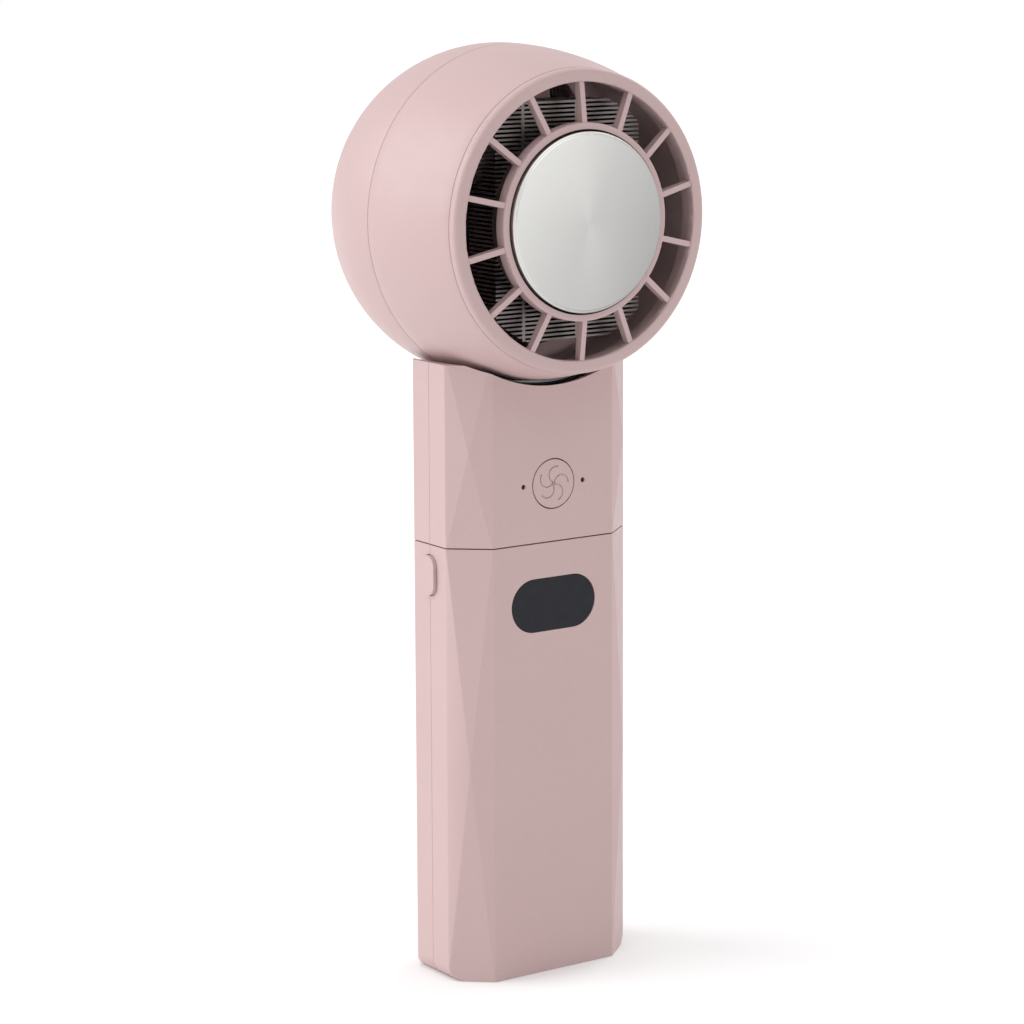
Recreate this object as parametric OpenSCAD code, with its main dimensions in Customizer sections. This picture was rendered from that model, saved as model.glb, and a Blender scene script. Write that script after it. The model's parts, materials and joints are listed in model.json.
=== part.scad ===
// Handheld electric fan with a cold plate, a folding ball head and a plug-off battery base.
// Millimetres. The origin is the middle of the flat bottom face, +Z is up and the fan blows towards -Y.

/* [Handle] */
// Width of the handle, side to side
handle_w = 50.8; // [50:0.2:56]
// Depth of the handle, front to back
handle_d = 27.5; // [27.3:0.1:30]
// Width of each corner facet strip, seen from the front
facet_x = 8.5; // [7:0.1:9]
// Depth of each corner facet strip, seen from the side
facet_y = 7.1; // [6:0.1:8]
// How far the middle of each corner strip stands out
facet_rise = 1.3; // [0.6:0.1:1.6]
// Height of the battery base
base_h = 103.4; // [103:0.1:106]
// Height of the middle of the upper facets
upper_facet_z = 125.9; // [124:0.1:127]
// Gap between the base and the handle top
section_gap = 0.3; // [0.3:0.1:0.6]
// Wall thickness of the shells
wall = 1.8; // [1.6:0.1:2]
// Radius of the bottom corners, seen from the front
foot_r = 3.5; // [2:0.5:4]

/* [Head] */
// Height of the fan's axis
head_z = 179.1; // [178.6:0.1:181]
// Distance of the ball's centre behind the handle's middle
head_back = 8; // [7.6:0.1:8.4]
// Radius of the ball
head_r = 39.4; // [39:0.1:39.6]
// Radius of the shell's front rim
rim_r = 34.5; // [34.4:0.1:35]
// Distance from the ball's centre to the front rim
rim_s = 33.6; // [33:0.1:34.4]
// Gap between the ball and the saddle that it sits in
saddle_gap = 1.5; // [1.2:0.1:2.2]
// Height of the handle's flat shoulders beside the saddle
shoulder_z = 146.2; // [145:0.1:147]

/* [Grille] */
// Number of grille fins
fin_count = 14; // [10:2:18]
// Thickness of a grille fin
fin_t = 1.3; // [1:0.1:2]
// Depth of the grille's rim and fins
grille_depth = 2.3; // [2:0.1:2.6]
// Radius of the cold plate
plate_r = 20.6; // [20:0.1:20.8]
// Height of one rear intake slot
slot_h = 3; // [2:0.2:3.4]
// Distance from one rear intake slot to the next
slot_pitch = 4.8; // [4.7:0.1:6]
// Radius of the field of rear intake slots
slot_field_r = 31.5; // [28:0.5:32]

/* [Impeller] */
// Number of impeller blades
blade_count = 9; // [7:1:11]
// Tilt of a blade from the plane of rotation
blade_tilt = 40; // [30:1:45]
// Radius of the blade tips
blade_r = 34.8; // [33:0.2:34.8]

/* [Controls] */
// Height of the power button
button_z = 117.2; // [115:0.1:118]
// Radius of the power button
button_r = 5.7; // [5:0.1:5.8]
// Travel of both buttons
press_travel = 0.7; // [0.4:0.1:0.7]
// Height of the display window
display_z = 88.8; // [87:0.1:89]
// Width of the display window
display_w = 23.5; // [20:0.5:25]
// Height of the display window
display_h = 12.4; // [11:0.2:13]
// Height of the side button
side_z = 96.3; // [95:0.1:96.5]

/* [Hidden] */
$fn = 96;

shell_colour = [0.80, 0.67, 0.66];
eps = 0.05;                       // half of the split between two shells
half_d = handle_d / 2;
half_w = handle_w / 2;
strip_w = sqrt(facet_x * facet_x + facet_y * facet_y);
strip_turn = atan2(facet_x, facet_y);
upper_z = base_h + section_gap;
upper_top = 2 * upper_facet_z - upper_z; // where the upper facets would end
inner_d = half_d - wall;          // inside of the front and rear walls
inner_w = half_w - wall;          // inside of the side walls
flank_s = rim_s - 1;               // where the flank comes down to rim_r
flank_r = (flank_s * flank_s + pow(head_r - rim_r, 2)) / (2 * (head_r - rim_r));
split_s = 4.6;                    // seam between the head shells, ahead of the ball's centre

// Hinge under the head
pivot_y = 13.2;
pivot_z = head_z - 41.6;
pin_r = 1;
knuckle_r = 2.2;
lug_half = 3.9;                   // half width of the lug between the knuckles
block_half = 10.3;                // half width of the neck block
flange_half = 16.5;               // half width of the neck block's top
flange_front = -10.9;
flange_back = 8;
flange_z = 134;

// Grille and cold plate, measured forward from the ball's centre
ring_in = 31.7;
cap_r = rim_r + 0.35;             // outer radius of the grille's rim
cap_back = rim_s - grille_depth;
sleeve_in = 21.1;
sleeve_out = 22.6;
plate_front = rim_s + 2.6;
sleeve_front = plate_front - 1.3;
plate_back = plate_front - 3;
module_back = plate_back - 3.4;
sink_base = module_back - 2;
sink_back = 17;
sink_core_r = 17;
sink_half = 20;                   // half width of the heat sink's fins
mount_front = 14;
mount_back = 12;
mount_screw_r = 14.5;

// Motor
tube_out = 4.2;
bearing_out = 3;
shaft_r = 1;

// Control board, its screws and the switches behind the two buttons
board_front = -5;
board_z = 106.8;
board_h = 16.8;
board_screw_z = [109.3, 120.3];
power_switch_y = -8.2;
side_switch_x = -20.9;

// Dock between the base and the handle top
plug_x = 12;
plug_y = 6;
dock_floor = 94.4;
plug_tip = 95;

// Screws
screw_x = 14;
base_screw_z = [5.6, 77.5];
upper_screw_z = 128;
screw_head_r = 1.5;
boss_r = 2.1;

// --- shared shapes -------------------------------------------------------------------------

// Eight-sided outline of the handle, shrunk by a wall
module handle_outline(shrink = 0) {
    w = half_w - shrink;
    d = half_d - shrink;
    fx = facet_x - shrink * 0.45;
    fy = facet_y - shrink * 0.45;
    polygon([[w, -d + fy], [w, d - fy], [w - fx, d], [-w + fx, d],
        [-w, d - fy], [-w, -d + fy], [-w + fx, -d], [w - fx, -d]]);
}

// Everything outside the shallow four-sided pyramid on one corner strip
module corner_cut(z0, z1) {
    reach = 30;
    half_h = (z1 - z0) / 2 + 1;
    side_slope = 2 * facet_rise / strip_w;
    end_slope = facet_rise / half_h;
    translate([half_w - facet_x / 2, half_d - facet_y / 2, (z0 + z1) / 2])
        rotate([0, 0, strip_turn]) {
            translate([0, 0, -half_h - 1])
                linear_extrude(2 * half_h + 2)
                    polygon([[facet_rise, 0], [facet_rise - side_slope * reach, reach], [reach, reach],
                        [reach, -reach], [facet_rise - side_slope * reach, -reach]]);
            translate([0, reach, 0])
                rotate([90, 0, 0])
                    linear_extrude(2 * reach)
                        polygon([[facet_rise, 0], [facet_rise - end_slope * 2 * half_h, 2 * half_h],
                            [reach, 2 * half_h], [reach, -2 * half_h],
                            [facet_rise - end_slope * 2 * half_h, -2 * half_h]]);
        }
}

// Handle section whose corner strips are shallow pyramids
module faceted_section(z0, z1) {
    difference() {
        translate([-half_w, -half_d, z0])
            cube([handle_w, handle_d, z1 - z0]);
        for (sx = [0, 1], sy = [0, 1])
            mirror([sx, 0, 0])
                mirror([0, sy, 0])
                    corner_cut(z0, z1);
    }
}

module hollow(z0, z1, shrink) {
    translate([0, 0, z0])
        linear_extrude(z1 - z0)
            handle_outline(shrink);
}

// Everything in front of the split (side = -1) or behind it (side = 1)
module half_space(side, z0, z1) {
    y0 = side < 0 ? -half_d - 3 : eps;
    translate([-half_w - 3, y0, z0])
        cube([handle_w + 6, half_d + 3 - eps, z1 - z0]);
}

// Cylinder along Y from y0 to y1
module y_rod(r, y0, y1, x = 0, z = 0) {
    translate([x, y0, z])
        rotate([-90, 0, 0])
            cylinder(r = r, h = y1 - y0);
}

// Cylinder along X, centred
module x_rod(r, half, y, z) {
    translate([-half, y, z])
        rotate([0, 90, 0])
            cylinder(r = r, h = 2 * half);
}

// Stadium that lies in the XZ plane, from y0 to y1
module stadium_y(w, h, y0, y1) {
    for (sx = [-1, 1])
        y_rod(h / 2, y0, y1, sx * (w - h) / 2);
    translate([-(w - h) / 2, y0, -h / 2])
        cube([w - h, y1 - y0, h]);
}

// Upright pill that lies in the YZ plane, from x0 to x1
module pill_x(w, h, x0, x1) {
    for (sz = [-1, 1])
        translate([x0, 0, sz * (h - w) / 2])
            rotate([0, 90, 0])
                cylinder(r = w / 2, h = x1 - x0);
    translate([x0, -w / 2, -(h - w) / 2])
        cube([x1 - x0, w, h - w]);
}

// Countersunk screw along Y, head at the rear
module shell_screw(x, z, y_head, length) {
    y_rod(screw_head_r, y_head - 1.2, y_head, x, z);
    y_rod(0.8, y_head - length, y_head - 1.1, x, z);
}

// Head frame: Z runs forward along the fan's axis
module head_axis() {
    translate([0, head_back, head_z])
        rotate([90, 0, 0])
            children();
}

// Solid disc or tube along the fan's axis, from s0 to s1
module ring(r_out, r_in, s0, s1) {
    translate([0, 0, s0])
        difference() {
            cylinder(r = r_out, h = s1 - s0);
            if (r_in > 0)
                translate([0, 0, -1])
                    cylinder(r = r_in, h = s1 - s0 + 2);
        }
}

// Half outline of the head, shrunk by t: a ball behind, a long flank in front
module head_half(t, s0, s1) {
    intersection() {
        union() {
            intersection() {
                circle(r = head_r - t);
                translate([-50, -50])
                    square([100, 50]);
            }
            intersection() {
                translate([head_r - flank_r, 0])
                    circle(r = flank_r - t, $fn = 240);
                translate([0, -0.01])
                    square([50, 40]);
            }
        }
        translate([0, s0])
            square([50, s1 - s0]);
    }
}

// --- base section --------------------------------------------------------------------------

module base_body() {
    difference() {
        faceted_section(0, base_h);
        for (sx = [0, 1])
            mirror([sx, 0, 0])
                translate([half_w - foot_r, 0, foot_r])
                    difference() {
                        translate([0, -half_d - 1, -foot_r - 1])
                            cube([foot_r + 1, handle_d + 2, foot_r + 1]);
                        y_rod(foot_r, -half_d - 2, half_d + 2);
                    }
    }
}

module side_hole() {
    translate([0, 0, side_z])
        pill_x(5.8, 9.8, -half_w - 3, -half_w + 4);
}

module base_shell(side) {
    difference() {
        intersection() {
            base_body();
            half_space(side, -1, base_h + 1);
        }
        difference() {
            hollow(wall, base_h - wall, wall);
            for (z = base_screw_z, sx = [-1, 1])
                y_rod(boss_r, -inner_d - 1, inner_d + 1, sx * screw_x, z);
        }
        translate([-plug_x - 1.6, -plug_y - 1.6, base_h - 3])
            cube([2 * plug_x + 3.2, 2 * plug_y + 3.2, 4]);
        side_hole();
    }
}

module base_front_shell() {
    color(shell_colour)
        difference() {
            base_shell(-1);
            translate([0, 0, display_z])
                stadium_y(display_w + 0.3, display_h + 0.3, -half_d - 1, -inner_d + 1);
            for (z = base_screw_z, sx = [-1, 1])
                y_rod(0.8, -6, 1, sx * screw_x, z);
        }
}

module base_rear_shell() {
    color(shell_colour)
        difference() {
            base_shell(1);
            for (z = base_screw_z, sx = [-1, 1]) {
                y_rod(0.9, -1, half_d + 1, sx * screw_x, z);
                y_rod(screw_head_r + 0.1, half_d - 1.5, half_d + 1, sx * screw_x, z);
            }
            translate([0, 0, 83.7])
                stadium_y(9.2, 3.4, inner_d - 1, half_d + 1);
        }
}

module base_screws() {
    color("dimgray")
        for (z = base_screw_z, sx = [-1, 1])
            shell_screw(sx * screw_x, z, half_d - 0.3, 16);
}

module display_lens() {
    color([0.2, 0.2, 0.22])
        translate([0, 0, display_z])
            stadium_y(display_w, display_h, -half_d + 0.05, -inner_d);
}

module digit_module() {
    color("black")
        translate([-8, -inner_d + 0.1, display_z - 4])
            cube([16, 0.8, 8]);
}

module display_board() {
    color("darkgreen")
        difference() {
            translate([-13, -inner_d + 0.9, display_z - 6])
                cube([26, 1.2, 12.4]);
            for (sx = [-1, 1])
                y_rod(0.6, -inner_d, -inner_d + 3, sx * 11.5, display_z);
        }
}

module side_button() {
    color(shell_colour)
        translate([0, 0, side_z]) {
            pill_x(5.4, 9.4, -half_w - 0.9, -inner_w + 0.3);
            translate([-inner_w + 0.1, -3.8, -4.6])
                cube([0.8, 7.6, 9.2]);
            translate([-inner_w + 0.5, 0, 0])
                rotate([0, 90, 0])
                    cylinder(r = 1.6, h = side_switch_x - press_travel - 0.1 + inner_w - 0.5);
        }
}

module side_switch() {
    color("silver")
        translate([side_switch_x, -3, side_z - 3])
            cube([3.5, 6, 6]);
}

module side_switch_board() {
    color("darkgreen")
        translate([side_switch_x + 3.5, -6, side_z - 5])
            cube([1.2, 12, 7.8]);
}

module battery_cells() {
    color("royalblue")
        for (sx = [-1, 1])
            translate([sx * 9.6, -1, 8.6])
                cylinder(r = 9.15, h = 65);
}

module battery_tabs() {
    color("silver")
        for (z = [8.4, 73.6])
            translate([-14, -4, z])
                cube([28, 6, 0.2]);
}

module charge_board() {
    color("darkgreen")
        translate([-13.6, -7, 80.6])
            cube([27.2, 18.6, 1.4]);
}

module usb_c_socket() {
    color("silver")
        translate([0, 0, 83.7])
            difference() {
                stadium_y(8.9, 3.2, 6.8, half_d - 0.2);
                stadium_y(8.3, 2.6, 7.8, half_d + 1);
            }
    color("black")
        translate([-3.2, 7.6, 83.35])
            cube([6.4, 5.2, 0.7]);
}

module dock_liner() {
    color([0.12, 0.12, 0.13])
        difference() {
            translate([-plug_x - 1.5, -plug_y - 1.5, dock_floor - 1.2])
                cube([2 * plug_x + 3, 2 * plug_y + 3, base_h - dock_floor + 1.2]);
            translate([-plug_x - 0.4, -plug_y - 0.4, dock_floor])
                cube([2 * plug_x + 0.8, 2 * plug_y + 0.8, 20]);
            for (i = [-1.5 : 1 : 1.5])
                translate([i * 3, 0, dock_floor - 2])
                    cylinder(r = 0.62, h = 3);
        }
}

module dock_contacts() {
    color("gold")
        for (i = [-1.5 : 1 : 1.5])
            translate([i * 3, 0, dock_floor - 2])
                cylinder(r = 0.6, h = 2.4);
}

module dock_magnets() {
    color("gray")
        for (sx = [-1, 1])
            translate([sx * 18, 0, base_h - wall - 2])
                cylinder(r = 3, h = 2);
}

// --- handle top ----------------------------------------------------------------------------

// The head's outline, grown by t
module saddle_cut(t) {
    head_axis()
        rotate_extrude($fn = 180)
            head_half(-t, -25, 28);
}

module upper_shell(side) {
    difference() {
        intersection() {
            faceted_section(upper_z, upper_top);
            half_space(side, upper_z - 1, shoulder_z);
        }
        saddle_cut(saddle_gap);
        difference() {
            hollow(upper_z + wall, shoulder_z - wall, wall);
            saddle_cut(saddle_gap + wall);
            for (sx = [-1, 1])
                y_rod(boss_r, -inner_d - 1, inner_d + 1, sx * screw_x, upper_screw_z);
        }
        // way through for the neck block and for the plug
        translate([-block_half - 0.1, -7.1, 124])
            cube([2 * block_half + 0.2, 7.1 + inner_d, 30]);
        translate([-flange_half - 0.1, flange_front - 0.1, flange_z])
            cube([2 * flange_half + 0.2, flange_back - flange_front + 0.2, 30]);
        translate([-plug_x - 0.1, -plug_y - 0.1, upper_z - 1])
            cube([2 * plug_x + 0.2, 2 * plug_y + 0.2, 4]);
    }
}

module upper_front_shell() {
    color(shell_colour)
        difference() {
            union() {
                upper_shell(-1);
                for (sx = [-1, 1], z = board_screw_z)
                    y_rod(1.6, -inner_d - 0.5, board_front - 0.1, sx * screw_x, z);
            }
            y_rod(button_r + 0.3, -half_d - 1, -inner_d + 1, 0, button_z);
            for (sx = [-1, 1]) {
                y_rod(0.6, -half_d - 1, -inner_d + 1, sx * 8.4, button_z);
                y_rod(0.8, -6, 1, sx * screw_x, upper_screw_z);
                for (z = board_screw_z)
                    y_rod(0.6, -9, 0, sx * screw_x, z);
            }
        }
}

module upper_rear_shell() {
    color(shell_colour)
        difference() {
            upper_shell(1);
            for (sx = [-1, 1]) {
                y_rod(0.9, -1, half_d + 1, sx * screw_x, upper_screw_z);
                y_rod(screw_head_r + 0.1, half_d - 1.5, half_d + 1, sx * screw_x, upper_screw_z);
            }
            translate([-block_half - 0.1, inner_d - 1, pivot_z - 3.6])
                cube([2 * block_half + 0.2, 10, 30]);
        }
}

module upper_screws() {
    color("dimgray")
        for (sx = [-1, 1])
            shell_screw(sx * screw_x, upper_screw_z, half_d - 0.3, 16);
}

// Five curved strokes that turn round the middle of the power button
module swirl_strokes() {
    for (i = [0 : 4])
        rotate([0, 0, i * 72])
            translate([2.2, 0])
                intersection() {
                    difference() {
                        circle(r = 2.1, $fn = 48);
                        circle(r = 1.75, $fn = 48);
                    }
                    translate([-3, 0])
                        square([6, 3]);
                }
}

module power_button() {
    color(shell_colour)
        translate([0, 0, button_z])
            difference() {
                union() {
                    y_rod(button_r, -half_d - 0.05, -inner_d + 0.3);
                    y_rod(button_r + 1, -inner_d + 0.1, -inner_d + 0.9);
                    y_rod(1.6, -inner_d + 0.5, power_switch_y - press_travel - 0.1);
                }
                translate([0, -half_d + 0.2, 0])
                    rotate([90, 0, 0])
                        linear_extrude(2)
                            swirl_strokes();
            }
}

module power_switch() {
    color("silver")
        translate([-3, power_switch_y, button_z - 3])
            cube([6, board_front - power_switch_y, 6]);
}

module control_board() {
    color("darkgreen")
        difference() {
            translate([-17, board_front, board_z])
                cube([34, 1.4, board_h]);
            for (sx = [-1, 1], z = board_screw_z)
                y_rod(0.7, -6, -3, sx * screw_x, z);
        }
}

module board_screws() {
    color("dimgray")
        for (sx = [-1, 1], z = board_screw_z) {
            y_rod(1.3, -3.6, -2.8, sx * screw_x, z);
            y_rod(0.6, -8.5, -3.5, sx * screw_x, z);
        }
}

module light_pipes() {
    color("dimgray")
        for (sx = [-1, 1])
            y_rod(0.55, -half_d + 0.4, board_front, sx * 8.4, button_z);
}

module dock_plug() {
    color([0.12, 0.12, 0.13])
        difference() {
            union() {
                translate([-plug_x, -plug_y, plug_tip])
                    cube([2 * plug_x, 2 * plug_y, upper_z + wall - plug_tip]);
                translate([-plug_x - 1.4, -plug_y - 1.4, upper_z + wall])
                    cube([2 * plug_x + 2.8, 2 * plug_y + 2.8, 1]);
            }
            for (i = [-1.5 : 1 : 1.5])
                translate([i * 3, 0, plug_tip - 1])
                    cylinder(r = 1.02, h = 3);
        }
}

module plug_contacts() {
    color("gold")
        for (i = [-1.5 : 1 : 1.5])
            translate([i * 3, 0, plug_tip + 0.1])
                cylinder(r = 1, h = 1.9);
}

module plug_magnets() {
    color("gray")
        for (sx = [-1, 1])
            translate([sx * 18, 0, upper_z + wall])
                cylinder(r = 3, h = 1);
}

module neck_block() {
    color([0.05, 0.05, 0.055])
        difference() {
            union() {
                difference() {
                    union() {
                        translate([-block_half, -7, 124.1])
                            cube([2 * block_half, 7 + inner_d - 0.1, 30]);
                        translate([-flange_half, flange_front, flange_z])
                            cube([2 * flange_half, flange_back - flange_front, 20]);
                    }
                    saddle_cut(0.6);
                }
                intersection() {
                    x_rod(knuckle_r, block_half, pivot_y, pivot_z);
                    translate([-20, 0, 0])
                        cube([40, 40, 200]);
                }
                translate([-block_half, inner_d - 1.5, pivot_z - knuckle_r])
                    cube([2 * block_half, pivot_y - inner_d + 1.5, knuckle_r]);
            }
            // slot that the lug turns in
            translate([-lug_half - 0.3, pivot_y - 4.4, pivot_z - 3])
                cube([2 * lug_half + 0.6, 12, 20]);
            x_rod(pin_r + 0.01, 30, pivot_y, pivot_z);
        }
}

module hinge_pin() {
    color("silver")
        x_rod(pin_r, block_half - 0.2, pivot_y, pivot_z);
}

// --- head ----------------------------------------------------------------------------------

module hinge_lug() {
    color([0.05, 0.05, 0.055])
        difference() {
            union() {
                x_rod(knuckle_r, lug_half, pivot_y, pivot_z);
                translate([-lug_half, pivot_y - knuckle_r, pivot_z])
                    cube([2 * lug_half, 2 * knuckle_r, 5]);
                intersection() {
                    translate([-7, pivot_y - 5, pivot_z + 2])
                        cube([14, 10, 3.8]);
                    translate([0, head_back, head_z])
                        sphere(r = head_r - wall - 0.05, $fn = 180);
                }
            }
            x_rod(pin_r + 0.06, 30, pivot_y, pivot_z);
        }
}

module head_front_shell() {
    color(shell_colour)
        head_axis()
            rotate_extrude($fn = 180)
                difference() {
                    head_half(0, split_s, cap_back - 0.1);
                    head_half(wall, split_s - 1, rim_s + 1);
                }
}

module head_rear_shell() {
    slots = floor((slot_field_r - slot_h / 2 - 1) / slot_pitch);
    color(shell_colour)
        difference() {
            head_axis()
                difference() {
                    rotate_extrude($fn = 180)
                        difference() {
                            head_half(0, -60, split_s - 0.12);
                            head_half(wall, -60, split_s + 1);
                        }
                    intersection() {
                        translate([0, 0, -60])
                            cylinder(r = slot_field_r, h = 50);
                        union()
                            for (i = [-slots : slots])
                                translate([-50, i * slot_pitch - slot_h / 2, -60])
                                    cube([100, slot_h, 50]);
                    }
                }
            translate([-lug_half - 0.1, pivot_y - knuckle_r - 0.1, pivot_z])
                cube([2 * lug_half + 0.2, 2 * knuckle_r + 0.2, 9]);
        }
}

// Cap that closes the shell's rim, with a lip behind it
module rim_profile() {
    outer = 1.2;
    inner = 0.4;
    polygon([[ring_in, cap_back], [cap_r, cap_back], [cap_r, rim_s - outer], [cap_r - outer, rim_s],
        [ring_in + inner, rim_s], [ring_in, rim_s - inner]]);
    translate([cap_r - outer, rim_s - outer])
        circle(r = outer, $fn = 48);
    translate([ring_in + inner, rim_s - inner])
        circle(r = inner, $fn = 32);
    translate([ring_in + 0.2, cap_back - 2.4])
        square([0.8, 2.5]);
}

// Collar round the cold plate
module sleeve_profile() {
    round_r = 0.5;
    polygon([[sleeve_in, sleeve_front - 3], [sleeve_out, sleeve_front - 3],
        [sleeve_out, sleeve_front - round_r], [sleeve_out - round_r, sleeve_front],
        [sleeve_in, sleeve_front]]);
    translate([sleeve_out - round_r, sleeve_front - round_r])
        circle(r = round_r, $fn = 32);
}

module front_grille() {
    color(shell_colour)
        head_axis() {
            rotate_extrude($fn = 180) {
                rim_profile();
                sleeve_profile();
            }
            for (i = [0 : fin_count - 1])
                rotate([0, 0, 90 + i * 360 / fin_count])
                    rotate([90, 0, 0])
                        translate([0, 0, -fin_t / 2])
                            linear_extrude(fin_t)
                                polygon([[sleeve_out - 0.4, sleeve_front - 2.7],
                                    [ring_in + 0.4, cap_back + 0.1], [ring_in + 0.4, rim_s - 0.4],
                                    [sleeve_out - 0.4, sleeve_front - 0.4]]);
        }
}

module cold_plate() {
    color("gainsboro")
        head_axis()
            rotate_extrude($fn = 180)
                polygon([[0, plate_back], [plate_r, plate_back], [plate_r, plate_front - 0.55],
                    [plate_r - 0.25, plate_front - 0.3], [plate_r - 0.5, plate_front - 0.3],
                    [plate_r - 0.7, plate_front], [0, plate_front]]);
}

module plate_gasket() {
    color("black")
        head_axis()
            ring(sleeve_in - 0.05, 14.6, module_back + 0.4, plate_back);
}

module cooling_module() {
    color("white")
        head_axis()
            translate([-10, -10, module_back])
                cube([20, 20, plate_back - module_back]);
}

module heat_sink() {
    fin_pitch = 1;
    sink_fin_t = 0.5;
    fins = 27;                    // above the axis, and as many below
    color("silver")
        head_axis()
            difference() {
                union() {
                    ring(sleeve_in - 0.1, 0, sink_base, module_back);
                    ring(sink_core_r, 12, mount_front, sink_base + 0.1);
                    intersection() {
                        ring(29.5, 0, sink_back, sink_base);
                        union()
                            for (i = [-fins : fins])
                                translate([-sink_half, i * fin_pitch - sink_fin_t / 2, sink_back])
                                    cube([2 * sink_half, sink_fin_t, sink_base - sink_back]);
                    }
                    // uprights that join the fins above and below the base
                    for (x = [-12.4, 2.4])
                        translate([x - 0.4, -27, sink_back])
                            cube([0.8, 54, sink_base - sink_back]);
                }
                for (a = [45 : 90 : 315])
                    rotate([0, 0, a])
                        translate([mount_screw_r, 0, mount_front - 1])
                            cylinder(r = 0.7, h = 5.5);
            }
}

module motor_mount() {
    color("dimgray")
        head_axis()
            difference() {
                union() {
                    ring(18, 0, mount_back, mount_front);
                    ring(tube_out, 0, -3, mount_back + 0.5);
                }
                translate([0, 0, -10])
                    cylinder(r = bearing_out + 0.02, h = 22);
                for (a = [45 : 90 : 315])
                    rotate([0, 0, a])
                        translate([mount_screw_r, 0, mount_back - 1])
                            cylinder(r = 0.7, h = 8);
            }
}

module mount_screws() {
    color("dimgray")
        head_axis()
            for (a = [45 : 90 : 315])
                rotate([0, 0, a])
                    translate([mount_screw_r, 0, 0]) {
                        translate([0, 0, mount_back - 0.9])
                            cylinder(r = 1.3, h = 0.9);
                        translate([0, 0, mount_back - 0.5])
                            cylinder(r = 0.7, h = 6);
                    }
}

module motor_board() {
    color("darkgreen")
        head_axis()
            ring(12, tube_out + 0.05, 10.6, mount_back);
}

module stator() {
    color("peru")
        head_axis() {
            ring(5.6, tube_out + 0.02, -1.6, 8.6);
            for (i = [0 : 8])
                rotate([0, 0, i * 40])
                    translate([5.2, -1.3, -1])
                        cube([5, 2.6, 9]);
        }
}

module bearings() {
    color("silver")
        head_axis() {
            ring(bearing_out, shaft_r + 0.03, -2.8, -0.8);
            ring(bearing_out, shaft_r + 0.03, 9, 11);
        }
}

module impeller() {
    color([0.12, 0.08, 0.08])
        head_axis() {
            difference() {
                ring(16, 0, -9, 10);
                ring(13.02, 0, -7.4, 11);
            }
            for (i = [0 : blade_count - 1])
                rotate([0, 0, i * 360 / blade_count])
                    translate([15.4, 0, -1])
                        rotate([blade_tilt, 0, 0])
                            translate([0, -9, -0.7])
                                cube([blade_r - 15.6, 18, 1.4]);
        }
}

module rotor_cup() {
    color("gray")
        head_axis()
            difference() {
                ring(13, 0, -5, 9.6);
                ring(12.2, 0, -3.6, 11);
                ring(shaft_r + 0.01, 0, -6, 0);
            }
}

module magnet_ring() {
    color("dimgray")
        head_axis()
            ring(12.18, 10.9, -2, 8.4);
}

module motor_shaft() {
    color("silver")
        head_axis()
            ring(shaft_r, 0, -4.9, 11.4);
}

base_front_shell();
base_rear_shell();
base_screws();
display_lens();
digit_module();
display_board();
side_button();
side_switch();
side_switch_board();
battery_cells();
battery_tabs();
charge_board();
usb_c_socket();
dock_liner();
dock_contacts();
dock_magnets();
upper_front_shell();
upper_rear_shell();
upper_screws();
power_button();
power_switch();
control_board();
board_screws();
light_pipes();
dock_plug();
plug_contacts();
plug_magnets();
neck_block();
hinge_pin();
hinge_lug();
head_front_shell();
head_rear_shell();
front_grille();
cold_plate();
plate_gasket();
cooling_module();
heat_sink();
motor_mount();
mount_screws();
motor_board();
stator();
bearings();
impeller();
rotor_cup();
magnet_ring();
motor_shaft();
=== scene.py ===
"""Looks of the handheld electric fan: materials, rounded edges, impeller, light and camera."""

import json
import math

import bmesh
import bpy
from mathutils import Matrix, Vector


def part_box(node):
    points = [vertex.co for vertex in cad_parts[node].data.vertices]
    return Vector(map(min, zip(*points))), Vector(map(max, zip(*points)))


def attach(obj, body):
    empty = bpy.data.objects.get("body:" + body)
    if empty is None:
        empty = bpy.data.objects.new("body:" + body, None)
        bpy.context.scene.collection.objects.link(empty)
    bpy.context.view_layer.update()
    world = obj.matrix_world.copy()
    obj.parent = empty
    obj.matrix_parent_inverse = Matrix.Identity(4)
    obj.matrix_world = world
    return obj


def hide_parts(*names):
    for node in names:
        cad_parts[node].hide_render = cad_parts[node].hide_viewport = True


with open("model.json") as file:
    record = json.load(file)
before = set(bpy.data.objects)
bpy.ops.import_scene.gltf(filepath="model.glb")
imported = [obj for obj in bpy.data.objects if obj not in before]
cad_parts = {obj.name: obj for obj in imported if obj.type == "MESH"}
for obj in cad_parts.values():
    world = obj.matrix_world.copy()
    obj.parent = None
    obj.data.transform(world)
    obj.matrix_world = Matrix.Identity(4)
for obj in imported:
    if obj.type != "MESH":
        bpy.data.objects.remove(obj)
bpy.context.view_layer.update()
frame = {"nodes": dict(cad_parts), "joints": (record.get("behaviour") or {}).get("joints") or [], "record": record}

MM = 0.001

# Camera: where it stands in metres, the way that it looks in degrees, and its lens
CAMERA_PLACE = (-0.4374, -0.6329, 0.2530)
CAMERA_AZIMUTH = -34.52
CAMERA_PITCH = 8.717
CAMERA_ROLL = -0.257
CAMERA_LENS = 116.5
CAMERA_SHIFT_Y = -0.109

# Light: direction that each lamp shines from, its strength, its width in degrees
KEY_LAMP = ((-0.76, 0.48, 0.44), 1.75, 50)
RIM_LAMP = ((0.85, 0.25, 0.45), 0.9, 40)
TOP_LAMP = ((-0.10, -0.15, 0.98), 0.8, 70)
ROOM_LIGHT = 0.68
BACKGROUND = 1.0


# --- camera, light and floor ---------------------------------------------------------------


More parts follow.
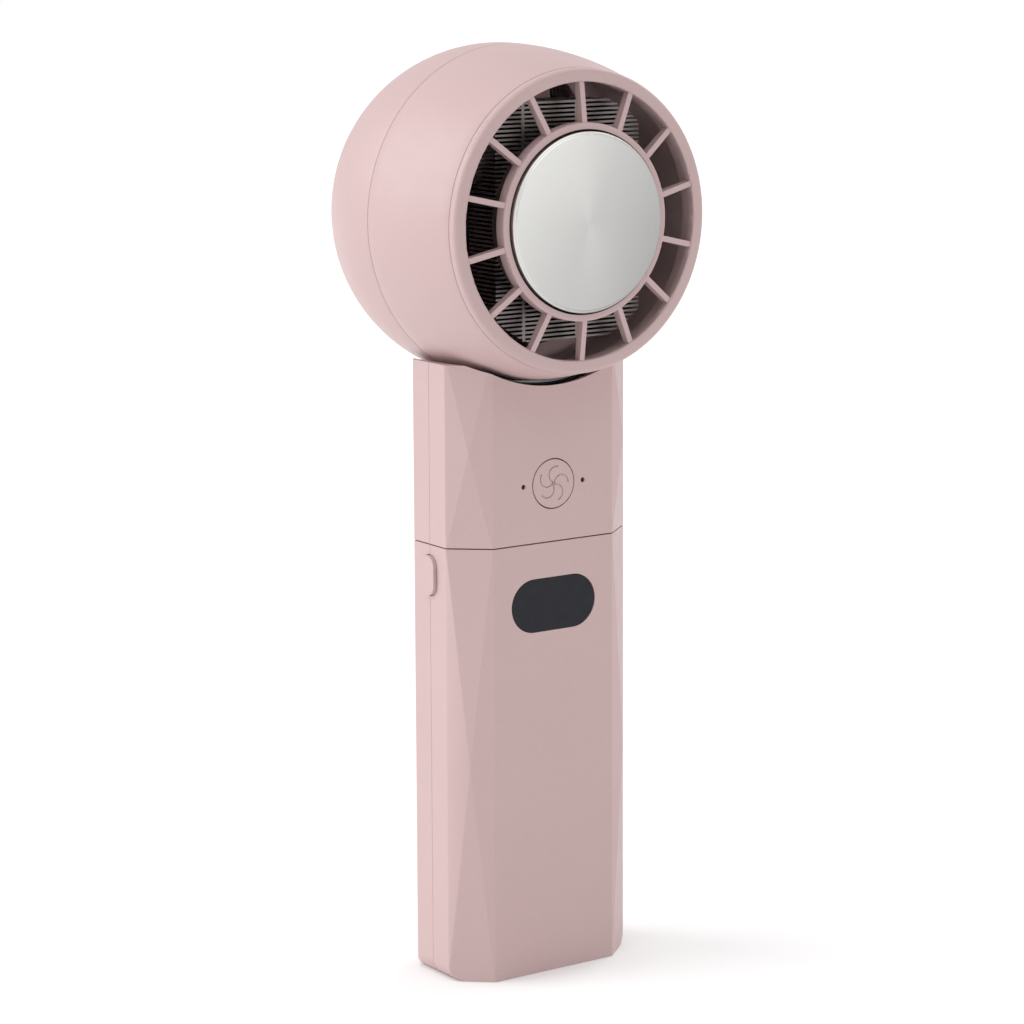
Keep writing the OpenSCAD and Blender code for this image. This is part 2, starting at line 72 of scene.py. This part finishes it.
def add_camera():
    data = bpy.data.cameras.new("camera")
    data.lens = CAMERA_LENS
    data.sensor_width = 36
    data.shift_y = CAMERA_SHIFT_Y
    data.clip_start, data.clip_end = 0.05, 20
    camera = bpy.data.objects.new("camera", data)
    camera.location = CAMERA_PLACE
    a, e, r = (math.radians(v) for v in (CAMERA_AZIMUTH, CAMERA_PITCH, CAMERA_ROLL))
    right = Vector((math.cos(a), math.sin(a), 0))
    up = Vector((-math.sin(a) * math.sin(e), math.cos(a) * math.sin(e), math.cos(e)))
    back = right.cross(up)
    turned_right = right * math.cos(r) + up * math.sin(r)
    turned_up = up * math.cos(r) - right * math.sin(r)
    rows = list(zip(turned_right, turned_up, back))
    camera.rotation_mode = "QUATERNION"
    camera.rotation_quaternion = Matrix(rows).to_quaternion()
    bpy.context.scene.collection.objects.link(camera)
    bpy.context.scene.camera = camera


def add_lamp(name, direction, strength, width):
    data = bpy.data.lights.new(name, "SUN")
    data.energy = strength
    data.angle = math.radians(width)
    lamp = bpy.data.objects.new(name, data)
    lamp.rotation_mode = "QUATERNION"
    lamp.rotation_quaternion = Vector(direction).to_track_quat("Z", "Y")
    bpy.context.scene.collection.objects.link(lamp)


def light_room():
    world = bpy.data.worlds.new("room")
    bpy.context.scene.world = world
    world.use_nodes = True
    nodes, links = world.node_tree.nodes, world.node_tree.links
    nodes.clear()
    path = nodes.new("ShaderNodeLightPath")
    lit = nodes.new("ShaderNodeBackground")
    lit.inputs["Strength"].default_value = ROOM_LIGHT
    seen = nodes.new("ShaderNodeBackground")
    seen.inputs["Strength"].default_value = BACKGROUND
    for shader in (lit, seen):
        shader.inputs["Color"].default_value = (1, 1, 1, 1)
    mix = nodes.new("ShaderNodeMixShader")
    out = nodes.new("ShaderNodeOutputWorld")
    links.new(path.outputs["Is Camera Ray"], mix.inputs["Fac"])
    links.new(lit.outputs[0], mix.inputs[1])
    links.new(seen.outputs[0], mix.inputs[2])
    links.new(mix.outputs[0], out.inputs["Surface"])
    add_lamp("key_lamp", *KEY_LAMP)
    add_lamp("rim_lamp", *RIM_LAMP)
    add_lamp("top_lamp", *TOP_LAMP)


def add_floor():
    mesh = bpy.data.meshes.new("floor")
    half = 6
    corners = [(-half, -half, 0), (half, -half, 0), (half, half, 0), (-half, half, 0)]
    mesh.from_pydata(corners, [], [(0, 1, 2, 3)])
    floor = bpy.data.objects.new("floor", mesh)
    bpy.context.scene.collection.objects.link(floor)
    mesh.materials.append(floor_material())


# --- materials -----------------------------------------------------------------------------

PINK_LOW = (0.495, 0.350, 0.344)
PINK_HIGH = (0.518, 0.370, 0.364)
PINK_GRAIN = (0.55, 0.405, 0.40)
GRILLE_SHADE = 0.95              # the grille's pink against the shells'

# The plate's base colour carries the fall-off of the light across it, which the lamps don't give
PLATE_LIT_WAY = (-0.81, 0, 0.59)
PLATE_LIT_REACH = 0.020          # metres from the middle to either end of the fall-off
PLATE_DIM = ((0.40, 0.395, 0.385), (0.49, 0.485, 0.475))
PLATE_LIT = ((0.74, 0.735, 0.715), (0.84, 0.835, 0.815))


class Surface:
    """A material in the making: a Principled shader and the nodes that feed it."""

    def __init__(self, name):
        self.material = bpy.data.materials.new(name)
        self.material.use_nodes = True
        tree = self.material.node_tree
        self.nodes, self.links = tree.nodes, tree.links
        self.shader = self.nodes["Principled BSDF"]
        self.place = self.nodes.new("ShaderNodeTexCoord").outputs["Object"]
        self.normal = None

    def set(self, **values):
        for key, value in values.items():
            self.shader.inputs[key.replace("_", " ")].default_value = value

    def noise(self, scale, detail=2.0, stretch=None, place=None):
        source = place or self.place
        if stretch:
            mapping = self.nodes.new("ShaderNodeMapping")
            mapping.inputs["Scale"].default_value = stretch
            self.links.new(source, mapping.inputs["Vector"])
            source = mapping.outputs[0]
        node = self.nodes.new("ShaderNodeTexNoise")
        node.inputs["Scale"].default_value = scale
        node.inputs["Detail"].default_value = detail
        self.links.new(source, node.inputs["Vector"])
        return node.outputs["Fac"]

    def spread(self, value, low, high, start=0.3, end=0.7):
        """Maps a noise value from start..end to low..high."""
        node = self.nodes.new("ShaderNodeMapRange")
        node.inputs["From Min"].default_value = start
        node.inputs["From Max"].default_value = end
        node.inputs["To Min"].default_value = low
        node.inputs["To Max"].default_value = high
        self.links.new(value, node.inputs["Value"])
        return node.outputs["Result"]

    def math(self, kind, a, b):
        node = self.nodes.new("ShaderNodeMath")
        node.operation = kind
        for socket, value in zip(node.inputs, (a, b)):
            if isinstance(value, (int, float)):
                socket.default_value = value
            else:
                self.links.new(value, socket)
        return node.outputs[0]

    def vector(self, kind, source, other=None):
        """A vector maths node on source and, for most kinds, a constant."""
        node = self.nodes.new("ShaderNodeVectorMath")
        node.operation = kind
        if other is not None:
            node.inputs[1].default_value = other
        self.links.new(source, node.inputs[0])
        return node.outputs

    def colour(self, value):
        self.links.new(value, self.shader.inputs["Base Color"])

    def rough(self, value):
        self.links.new(value, self.shader.inputs["Roughness"])

    def bump(self, height, depth_mm, strength=1.0):
        node = self.nodes.new("ShaderNodeBump")
        node.inputs["Strength"].default_value = strength
        node.inputs["Distance"].default_value = depth_mm * MM
        self.links.new(height, node.inputs["Height"])
        if self.normal:
            self.links.new(self.normal, node.inputs["Normal"])
        self.normal = node.outputs["Normal"]
        self.links.new(self.normal, self.shader.inputs["Normal"])


# Blender's mix node names its colour sockets by kind, so they are found by type once
def colour_sockets(node):
    inputs = [s for s in node.inputs if s.type == "RGBA"]
    output = next(s for s in node.outputs if s.type == "RGBA")
    factor = next(s for s in node.inputs if s.type == "VALUE")
    return factor, inputs[0], inputs[1], output


def mix_colours(surface, factor, first, second):
    node = surface.nodes.new("ShaderNodeMix")
    node.data_type = "RGBA"
    socket, a, b, output = colour_sockets(node)
    surface.links.new(factor, socket)
    for target, value in ((a, first), (b, second)):
        if isinstance(value, tuple):
            target.default_value = (*value, 1)
        else:
            surface.links.new(value, target)
    return output


def floor_material():
    s = Surface("pale_floor")
    patches = s.noise(1.2)
    s.colour(mix_colours(s, s.spread(patches, 0, 1), (0.90, 0.90, 0.90), (0.93, 0.93, 0.93)))
    s.rough(s.spread(s.noise(30), 0.85, 0.95))
    s.set(Specular_IOR_Level=0.1)
    return s.material


def shade(colour, factor):
    return tuple(c * factor for c in colour)


def pink_material(name, factor):
    """Dusty pink moulded plastic with a fine matte grain."""
    s = Surface(name)
    grain = s.noise(5200, 3)
    patches = s.noise(45, 3)
    worn = s.noise(260, 4)
    low, high, speck = (shade(tone, factor) for tone in (PINK_LOW, PINK_HIGH, PINK_GRAIN))
    base = mix_colours(s, s.spread(patches, 0, 1), low, high)
    fine = mix_colours(s, s.spread(grain, 0, 1, 0.25, 0.75), base, speck)
    s.colour(fine)
    s.rough(s.math("ADD", s.spread(worn, 0.40, 0.50), s.spread(grain, -0.04, 0.04)))
    s.bump(grain, 0.03, 0.35)
    s.bump(worn, 0.01, 0.3)
    s.set(Specular_IOR_Level=0.45)
    return s.material


def plate_material(node):
    """Steel, brushed in circles about the middle of the plate."""
    low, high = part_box(node)
    centre = (low + high) / 2
    s = Surface("brushed_plate")
    from_middle = s.vector("SUBTRACT", s.place, centre)[0]
    flat = s.vector("MULTIPLY", from_middle, (1, 0, 1))[0]
    radius = s.vector("LENGTH", flat)["Value"]
    rings = s.nodes.new("ShaderNodeTexNoise")
    rings.noise_dimensions = "1D"
    rings.inputs["Scale"].default_value = 9000
    rings.inputs["Detail"].default_value = 3
    s.links.new(radius, rings.inputs["W"])
    around = s.vector("CROSS_PRODUCT", flat, (0, 1, 0))[0]
    s.links.new(s.vector("NORMALIZE", around)[0], s.shader.inputs["Tangent"])
    streak = rings.outputs["Fac"]
    towards_light = s.vector("DOT_PRODUCT", flat, PLATE_LIT_WAY)["Value"]
    lit = s.spread(towards_light, 0, 1, -PLATE_LIT_REACH, PLATE_LIT_REACH)
    dim = mix_colours(s, s.spread(streak, 0, 1), *PLATE_DIM)
    bright = mix_colours(s, s.spread(streak, 0, 1), *PLATE_LIT)
    s.colour(mix_colours(s, lit, dim, bright))
    s.rough(s.spread(streak, 0.30, 0.42))
    s.bump(streak, 0.006, 0.5)
    s.set(Metallic=1.0, Anisotropic=0.75)
    return s.material


def plain_plastic(name, dark, light, rough_low, rough_high,
                  grain=2600, depth=0.02, specular=0.5):
    """Moulded plastic or rubber in two close tones, with a grain of about 1 / grain metres."""
    s = Surface(name)
    fine, broad = s.noise(grain, 3), s.noise(grain / 20, 3)
    s.colour(mix_colours(s, s.spread(broad, 0, 1), dark, light))
    s.rough(s.spread(broad, rough_low, rough_high))
    s.bump(fine, depth, 0.4)
    s.set(Specular_IOR_Level=specular)
    return s.material


def metal(name, dark, light, rough_low, rough_high, stretch=(1, 1, 12), scale=900):
    """Drawn or rolled metal, with streaks along one way."""
    s = Surface(name)
    streaks = s.noise(scale, 4, stretch)
    s.colour(mix_colours(s, s.spread(streaks, 0, 1), dark, light))
    s.rough(s.spread(streaks, rough_low, rough_high))
    s.bump(streaks, 0.006, 0.4)
    s.set(Metallic=1.0)
    return s.material


def board_material():
    """Green solder mask over faint copper tracks."""
    s = Surface("circuit_board")
    tracks = s.nodes.new("ShaderNodeTexBrick")
    tracks.inputs["Scale"].default_value = 420
    tracks.inputs["Mortar Size"].default_value = 0.012
    s.links.new(s.place, tracks.inputs["Vector"])
    lines = tracks.outputs["Fac"]
    s.colour(mix_colours(s, lines, (0.012, 0.10, 0.05), (0.03, 0.17, 0.08)))
    s.rough(s.spread(s.noise(800), 0.25, 0.4))
    s.bump(lines, 0.02, 0.5)
    return s.material


def winding_material():
    """Enamelled copper wire in close turns."""
    s = Surface("copper_winding")
    turns = s.noise(2200, 2, (1, 6, 1))
    s.colour(mix_colours(s, s.spread(turns, 0, 1), (0.33, 0.11, 0.04), (0.66, 0.28, 0.12)))
    s.rough(s.spread(turns, 0.25, 0.45))
    s.bump(turns, 0.06, 0.7)
    s.set(Metallic=0.9)
    return s.material


def lens_material():
    """Smoked window with a hard polish and hair scratches."""
    s = Surface("smoked_lens")
    haze = s.noise(300, 4)
    low, high = (0.0095, 0.0100, 0.0145), (0.013, 0.0135, 0.0190)
    s.colour(mix_colours(s, s.spread(haze, 0, 1), low, high))
    scratches = s.noise(500, 5, (14, 1, 1))
    s.rough(s.spread(scratches, 0.16, 0.26))
    s.bump(scratches, 0.002, 0.3)
    s.set(Specular_IOR_Level=0.22)
    return s.material


def blade_material():
    """Smoky brown plastic, polished, with flow marks."""
    s = Surface("smoky_blade")
    flow = s.noise(140, 4, (1, 3, 1))
    s.colour(mix_colours(s, s.spread(flow, 0, 1), (0.055, 0.036, 0.035), (0.085, 0.060, 0.058)))
    s.rough(s.spread(flow, 0.2, 0.32))
    s.bump(s.noise(900, 3), 0.01, 0.3)
    s.set(Specular_IOR_Level=0.55)
    return s.material


def slot_materials():
    """One material for each of the record's material slots."""
    return {
        "shell": pink_material("pink_plastic", 1.0),
        "screw": metal("dark_zinc", (0.09, 0.09, 0.10), (0.16, 0.16, 0.17), 0.35, 0.5),
        "lens": lens_material(),
        "black_plastic": plain_plastic(
            "matte_black", (0.016, 0.016, 0.018), (0.028, 0.028, 0.03), 0.5, 0.65),
        "gloss_black": plain_plastic(
            "gloss_black", (0.006, 0.006, 0.007), (0.010, 0.010, 0.011), 0.10, 0.2, 600, 0.004),
        "board": board_material(),
        "steel": metal("plain_steel", (0.36, 0.36, 0.37), (0.50, 0.50, 0.51), 0.25, 0.4),
        "cell": plain_plastic(
            "shrink_sleeve", (0.02, 0.09, 0.26), (0.03, 0.12, 0.33), 0.25, 0.4, 300, 0.05),
        "contact": metal("gold_flash", (0.62, 0.42, 0.13), (0.78, 0.56, 0.20), 0.18, 0.3),
        "plate": plate_material("cold_plate"),
        "gasket": plain_plastic(
            "soft_gasket", (0.010, 0.010, 0.010), (0.02, 0.02, 0.02), 0.6, 0.8, 1800, 0.05, 0.3),
        "ceramic": plain_plastic(
            "bare_ceramic", (0.70, 0.70, 0.68), (0.82, 0.82, 0.80), 0.5, 0.7, 1500, 0.03),
        "sink": metal(
            "smoked_sink", (0.20, 0.172, 0.168), (0.28, 0.248, 0.243), 0.35, 0.5, (1, 12, 1)),
        "winding": winding_material(),
        "magnet": plain_plastic(
            "bonded_magnet", (0.03, 0.03, 0.033), (0.06, 0.06, 0.065), 0.5, 0.7, 1200, 0.03),
        "blade": blade_material(),
    }


# --- CAD nodes: materials and softened edges -------------------------------------------------

# Radius in millimetres that the edges of the nodes that show are rounded to
EDGE_ROUNDS = {
    "base_front_shell": 0.50,
    "base_rear_shell": 0.50,
    "upper_front_shell": 0.50,
    "upper_rear_shell": 0.50,
    "head_front_shell": 0.05,
    "head_rear_shell": 0.05,
    "front_grille": 0.35,
    "cold_plate": 0.12,
    "display_lens": 0.15,
    "side_button": 0.25,
    "power_button": 0.30,
    "neck_block": 0.25,
    "hinge_lug": 0.25,
    "dock_liner": 0.20,
    "dock_plug": 0.30,
    "motor_mount": 0.25,
    "heat_sink": 0.10,
    "usb_c_socket": 0.10,
}


WELD_MM = 0.002
ROUND_ABOVE = 9                  # degrees between two faces from which their edge is rounded


def soften(node, radius_mm):
    """Joins the node's split vertices and rounds its sharp edges."""
    weld = node.modifiers.new("join", "WELD")
    weld.merge_threshold = WELD_MM * MM
    bevel = node.modifiers.new("round", "BEVEL")
    bevel.width = radius_mm * MM
    bevel.segments = 3
    bevel.limit_method = "ANGLE"
    bevel.angle_limit = math.radians(ROUND_ABOVE)
    bevel.miter_outer = "MITER_ARC"
    bevel.harden_normals = True
    bevel.use_clamp_overlap = True


def dress_nodes(materials):
    slots = {p["node"]: p["material_slot"] for p in frame["record"]["subparts"]}
    grille = pink_material("pink_grille", GRILLE_SHADE)
    for name, node in frame["nodes"].items():
        node.data.materials.clear()
        node.data.materials.append(grille if name == "front_grille" else materials[slots[name]])
        if name in EDGE_ROUNDS:
            soften(node, EDGE_ROUNDS[name])


# --- impeller ------------------------------------------------------------------------------

BLADES = 9
HUB_RADIUS = 16.0
BLADE_TIP = 34.9
BLADE_CHORDS = (15.0, 24.5)      # at the hub and at the tip
BLADE_PITCHES = (46, 27)         # degrees from the plane of rotation, at the hub and at the tip
BLADE_SWEEP = 16                 # degrees that the tip leans ahead of the root
BLADE_CAMBER = 1.7
BLADE_MIDDLE = -1.5              # along the axis
BLADE_SINK = 0.8                 # how far the root reaches into the hub
BLADE_THICKNESS = 1.3
TIP_START = 0.8                  # share of the span where the chord starts to narrow
TIP_TAPER = 0.10                 # share of the chord that is lost by the tip
BLADE_ROWS, BLADE_COLUMNS = 11, 13


def axis_point(x, y, s, centre):
    """From millimetres across and along the fan's axis to metres in the row frame."""
    return Vector((centre.x + x * MM, centre.y - s * MM, centre.z + y * MM))


def impeller_centre():
    low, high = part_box("motor_shaft")
    return Vector(((low.x + high.x) / 2, frame_axis_y(), (low.z + high.z) / 2))


def frame_axis_y():
    joint = next(j for j in frame["joints"] if j["name"] == "fan_spin")
    return joint["pos_m"][1]


def add_blade(mesh, centre, turn):
    rows, columns = BLADE_ROWS, BLADE_COLUMNS
    root = HUB_RADIUS - BLADE_SINK
    grid = []
    for i in range(rows):
        t = i / (rows - 1)
        radius = root + t * (BLADE_TIP - root)
        chord = BLADE_CHORDS[0] + t * (BLADE_CHORDS[1] - BLADE_CHORDS[0])
        chord *= 1 - TIP_TAPER * max(0, t - TIP_START) / (1 - TIP_START)
        pitch = math.radians(BLADE_PITCHES[0] + t * (BLADE_PITCHES[1] - BLADE_PITCHES[0]))
        lean = math.radians(BLADE_SWEEP) * t * t
        line = []
        for k in range(columns):
            u = k / (columns - 1) - 0.5
            camber = BLADE_CAMBER * (1 - 4 * u * u)
            across = u * chord * math.cos(pitch) - camber * math.sin(pitch)
            along = u * chord * math.sin(pitch) + camber * math.cos(pitch)
            angle = turn + lean + across / radius
            x, y = radius * math.cos(angle), radius * math.sin(angle)
            line.append(mesh.verts.new(axis_point(x, y, BLADE_MIDDLE + along, centre)))
        grid.append(line)
    for i in range(rows - 1):
        for k in range(columns - 1):
            mesh.faces.new((grid[i][k], grid[i][k + 1], grid[i + 1][k + 1], grid[i + 1][k]))


def build_blades(material):
    centre = impeller_centre()
    work = bmesh.new()
    for i in range(BLADES):
        add_blade(work, centre, math.radians(i * 360 / BLADES))
    bmesh.ops.recalc_face_normals(work, faces=work.faces)
    blades = add_piece("impeller_blades", work, material)
    solid = blades.modifiers.new("thickness", "SOLIDIFY")
    solid.thickness = BLADE_THICKNESS * MM
    solid.offset = 0
    rounded = blades.modifiers.new("smooth", "SUBSURF")
    rounded.levels = rounded.render_levels = 1
    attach(blades, "rotor")
    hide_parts("impeller")


def revolve(profile, centre, steps=96):
    """Closed ring from a profile of (radius, along) points in millimetres, about the fan's axis."""
    work = bmesh.new()
    rings = []
    for i in range(steps):
        a = 2 * math.pi * i / steps
        c, s = math.cos(a), math.sin(a)
        ring = (axis_point(r * c, r * s, along, centre) for r, along in profile)
        rings.append([work.verts.new(point) for point in ring])
    for i in range(steps):
        here, there = rings[i], rings[(i + 1) % steps]
        for k in range(len(profile)):
            n = (k + 1) % len(profile)
            work.faces.new((here[k], here[n], there[n], there[k]))
    bmesh.ops.recalc_face_normals(work, faces=work.faces)
    return work


def build_hub(material):
    profile = [(16, -8.2), (15.6, -8.8), (15, -9), (4, -9), (4, -7.6), (13.1, -7.6), (13.1, 9.6),
        (13.4, 9.9), (15.6, 9.9), (16, 9.5), (16, 7.6), (15.7, 7.3), (15.7, 6.6), (16, 6.3)]
    hub = add_piece("impeller_hub", revolve(profile, impeller_centre()), material)
    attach(hub, "rotor")


def add_piece(name, work, material):
    mesh = bpy.data.meshes.new(name)
    work.to_mesh(mesh)
    work.free()
    mesh.polygons.foreach_set("use_smooth", [True] * len(mesh.polygons))
    mesh.materials.append(material)
    piece = bpy.data.objects.new(name, mesh)
    bpy.context.scene.collection.objects.link(piece)
    return piece


# --- everything together -------------------------------------------------------------------


def main():
    bpy.context.scene.view_settings.view_transform = "Standard"
    add_camera()
    light_room()
    add_floor()
    materials = slot_materials()
    dress_nodes(materials)
    build_blades(materials["blade"])
    build_hub(materials["blade"])


main()
